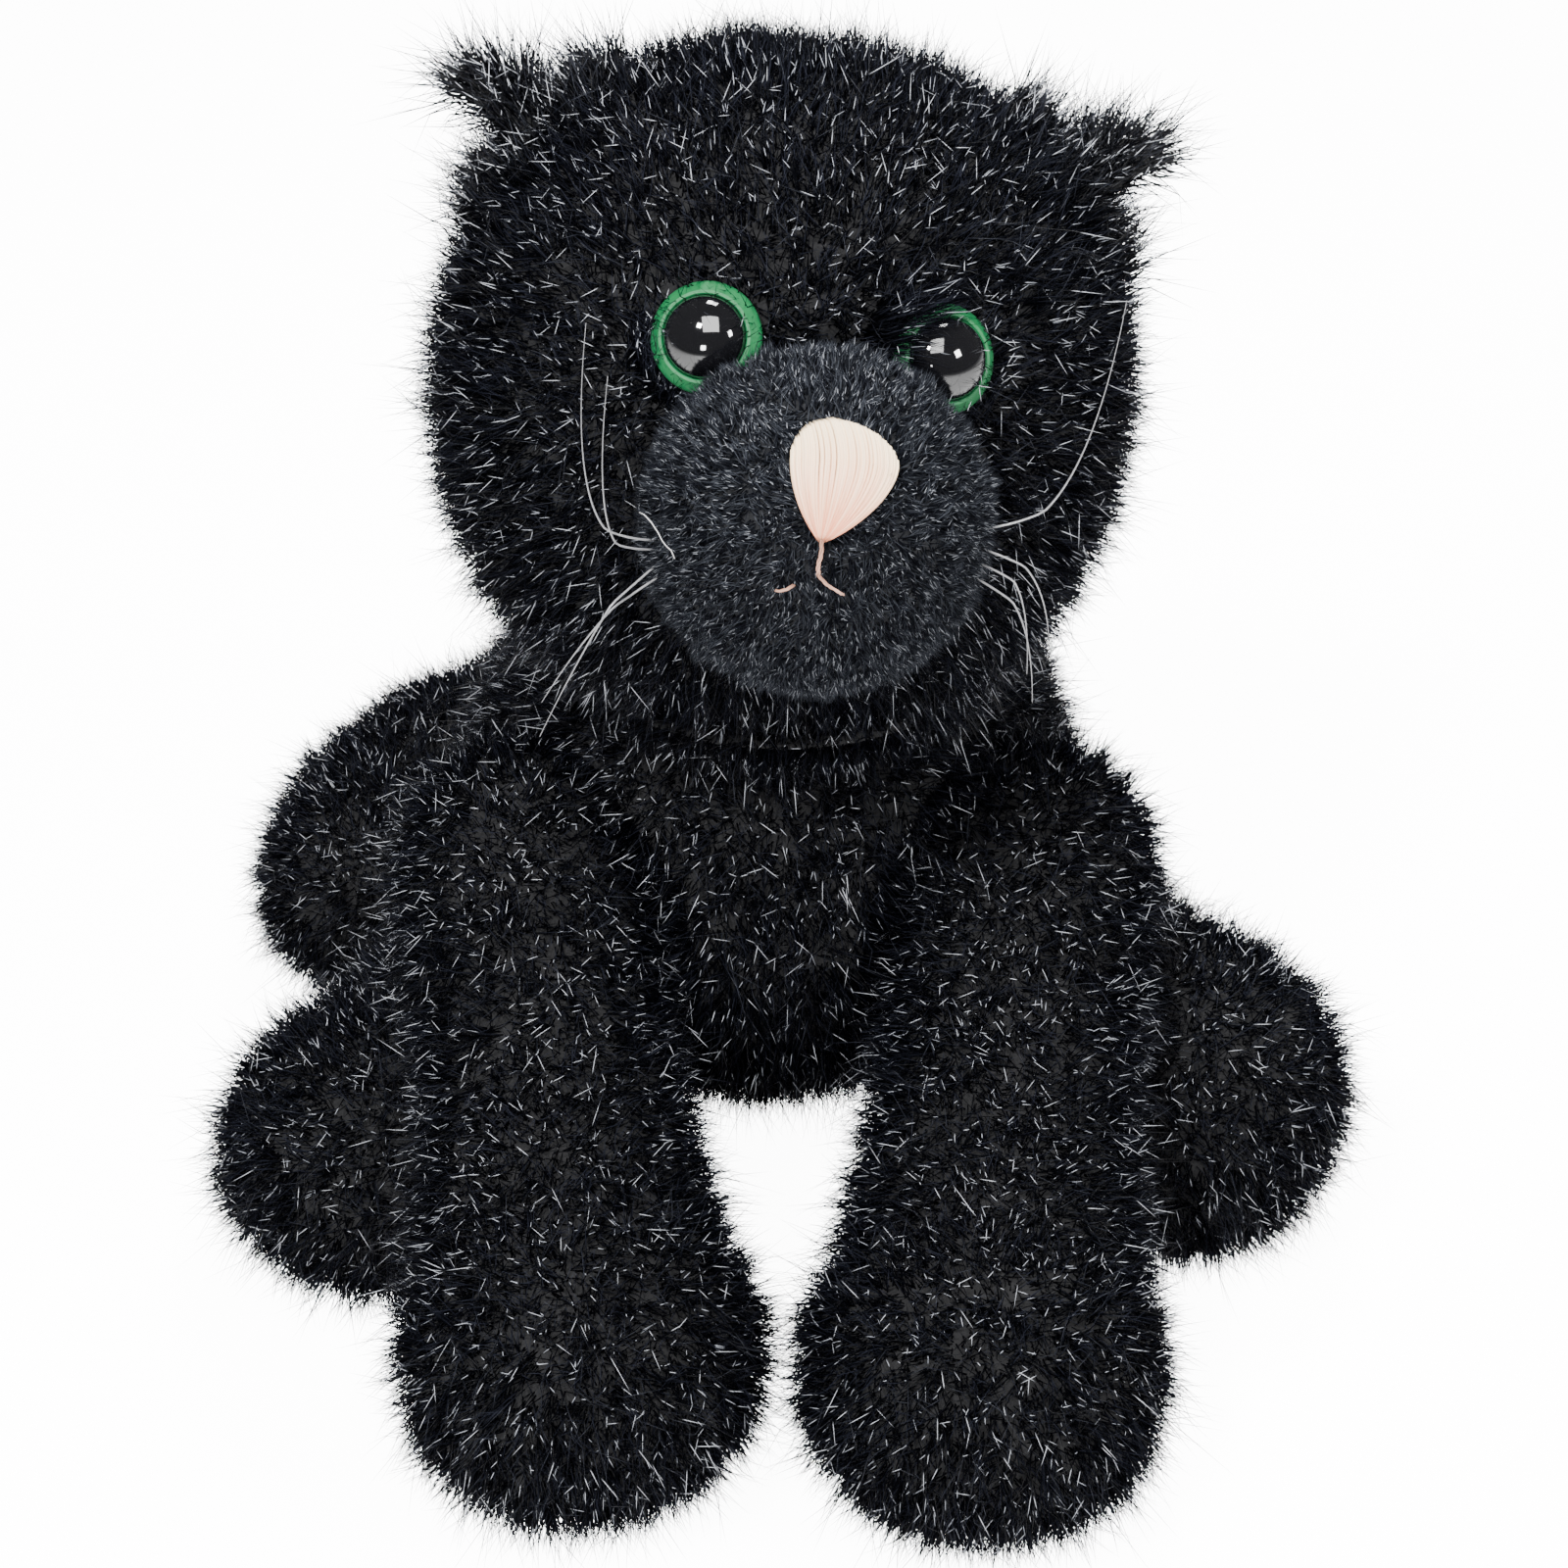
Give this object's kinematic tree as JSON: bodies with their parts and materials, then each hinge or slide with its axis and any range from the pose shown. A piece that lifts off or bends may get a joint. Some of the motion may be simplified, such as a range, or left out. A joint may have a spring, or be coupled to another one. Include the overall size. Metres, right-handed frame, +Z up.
{
  "type": "plush cat",
  "caption": "Small stuffed black cat lying on its belly with its paws in front, with a head, ears, legs and tail that move.",
  "frame": {"origin": "middle of the toy's footprint, on the plane it rests on", "axes": "+Z up, -Y the way the cat faces, +X to the viewer's right seen from the front"},
  "size_m": [0.1592, 0.1936, 0.1665],
  "materials": {
    "long_pile": "black faux fur, 7 mm pile, slightly glossy fibres",
    "short_pile": "dark charcoal short dense plush, matte",
    "ear_satin": "pinkish beige satin",
    "green_plastic": "translucent green, glossy",
    "black_plastic": "black, polished",
    "clear_nylon": "natural, moulded",
    "pink_floss": "pale pink satin-stitched floss",
    "whisker_bristle": "dark nylon bristle",
    "polyester_filling": "white fibre filling",
    "plastic_pellets": "pale pellets",
    "pouch_lining": "dark woven lining",
    "black_thread": "matte black thread",
    "label_satin": "white satin ribbon, blank"
  },
  "bodies": {
    "torso": {"torso_back_panel_left": "long_pile", "torso_back_panel_right": "long_pile", "belly_panel": "long_pile", "torso_stuffing": "polyester_filling", "pellet_pouch": "pouch_lining", "belly_pellets": "plastic_pellets", "care_label": "label_satin", "closing_thread": "black_thread"},
    "neck": {"neck_gusset": "long_pile"},
    "head": {"head_front_panel": "long_pile", "head_back_panel": "long_pile", "head_stuffing": "polyester_filling", "muzzle_panel": "short_pile", "muzzle_stuffing": "polyester_filling", "nose_embroidery": "pink_floss", "mouth_stitch_right": "pink_floss", "mouth_stitch_left": "pink_floss", "whisker_left_1": "whisker_bristle", "whisker_left_2": "whisker_bristle", "whisker_left_3": "whisker_bristle", "whisker_left_4": "whisker_bristle", "whisker_right_1": "whisker_bristle", "whisker_right_2": "whisker_bristle", "whisker_right_3": "whisker_bristle", "whisker_right_4": "whisker_bristle", "eye_base_left": "green_plastic", "eye_pupil_left": "black_plastic", "eye_washer_left": "clear_nylon", "eye_base_right": "green_plastic", "eye_pupil_right": "black_plastic", "eye_washer_right": "clear_nylon"},
    "ear_left": {"ear_outer_left": "long_pile", "ear_lining_left": "ear_satin"},
    "ear_right": {"ear_outer_right": "long_pile", "ear_lining_right": "ear_satin"},
    "tail": {"tail_upper_panel": "long_pile", "tail_lower_panel": "long_pile", "tail_stuffing": "polyester_filling"},
    "front_leg_left": {"front_leg_left_outer_panel": "long_pile", "front_leg_left_inner_panel": "long_pile", "front_leg_left_stuffing": "polyester_filling", "front_leg_left_pellets": "plastic_pellets"},
    "front_leg_right": {"front_leg_right_outer_panel": "long_pile", "front_leg_right_inner_panel": "long_pile", "front_leg_right_stuffing": "polyester_filling", "front_leg_right_pellets": "plastic_pellets"},
    "hind_leg_left": {"hind_leg_left_outer_panel": "long_pile", "hind_leg_left_inner_panel": "long_pile", "hind_leg_left_stuffing": "polyester_filling", "hind_leg_left_pellets": "plastic_pellets"},
    "hind_leg_right": {"hind_leg_right_outer_panel": "long_pile", "hind_leg_right_inner_panel": "long_pile", "hind_leg_right_stuffing": "polyester_filling", "hind_leg_right_pellets": "plastic_pellets"}
  },
  "joints": [
    {"name": "head_turn", "type": "hinge", "parent": "torso", "child": "neck", "pos_m": [0.00235, -0.00771, 0.125], "axis": [0, 0, 1], "range_deg": [-30, 30], "stiffness_Nm_per_rad": 0.5},
    {"name": "head_nod", "type": "hinge", "parent": "neck", "child": "head", "pos_m": [0.00235, -0.00771, 0.125], "axis": [0.9936, 0.1132, 0], "range_deg": [-12, 12], "stiffness_Nm_per_rad": 0.8},
    {"name": "ear_fold_left", "type": "hinge", "parent": "head", "child": "ear_left", "pos_m": [-0.03018, -0.00144, 0.15405], "axis": [-0.1177, 0.9311, -0.3453], "range_deg": [-12, 12], "stiffness_Nm_per_rad": 0.03},
    {"name": "ear_fold_right", "type": "hinge", "parent": "head", "child": "ear_right", "pos_m": [0.04011, 0.00391, 0.14451], "axis": [0.1177, -0.9311, 0.3453], "range_deg": [-12, 12], "stiffness_Nm_per_rad": 0.03},
    {"name": "front_left_lift", "type": "hinge", "parent": "torso", "child": "front_leg_left", "pos_m": [-0.03265, -0.01671, 0.056], "axis": [-1, 0, 0], "range_deg": [0, 30], "stiffness_Nm_per_rad": 0.4},
    {"name": "front_right_lift", "type": "hinge", "parent": "torso", "child": "front_leg_right", "pos_m": [0.03535, -0.01671, 0.056], "axis": [-1, 0, 0], "range_deg": [0, 30], "stiffness_Nm_per_rad": 0.4},
    {"name": "hind_left_swing", "type": "hinge", "parent": "torso", "child": "hind_leg_left", "pos_m": [-0.02465, 0.01829, 0.03], "axis": [0, 0, 1], "range_deg": [-12, 0], "stiffness_Nm_per_rad": 0.4},
    {"name": "hind_right_swing", "type": "hinge", "parent": "torso", "child": "hind_leg_right", "pos_m": [0.02935, 0.01829, 0.032], "axis": [0, 0, 1], "range_deg": [-4, 20], "stiffness_Nm_per_rad": 0.4},
    {"name": "tail_swing", "type": "hinge", "parent": "torso", "child": "tail", "pos_m": [-0.01165, 0.06729, 0.029], "axis": [0, 0, 1], "range_deg": [-25, 3], "stiffness_Nm_per_rad": 0.3}
  ]
}
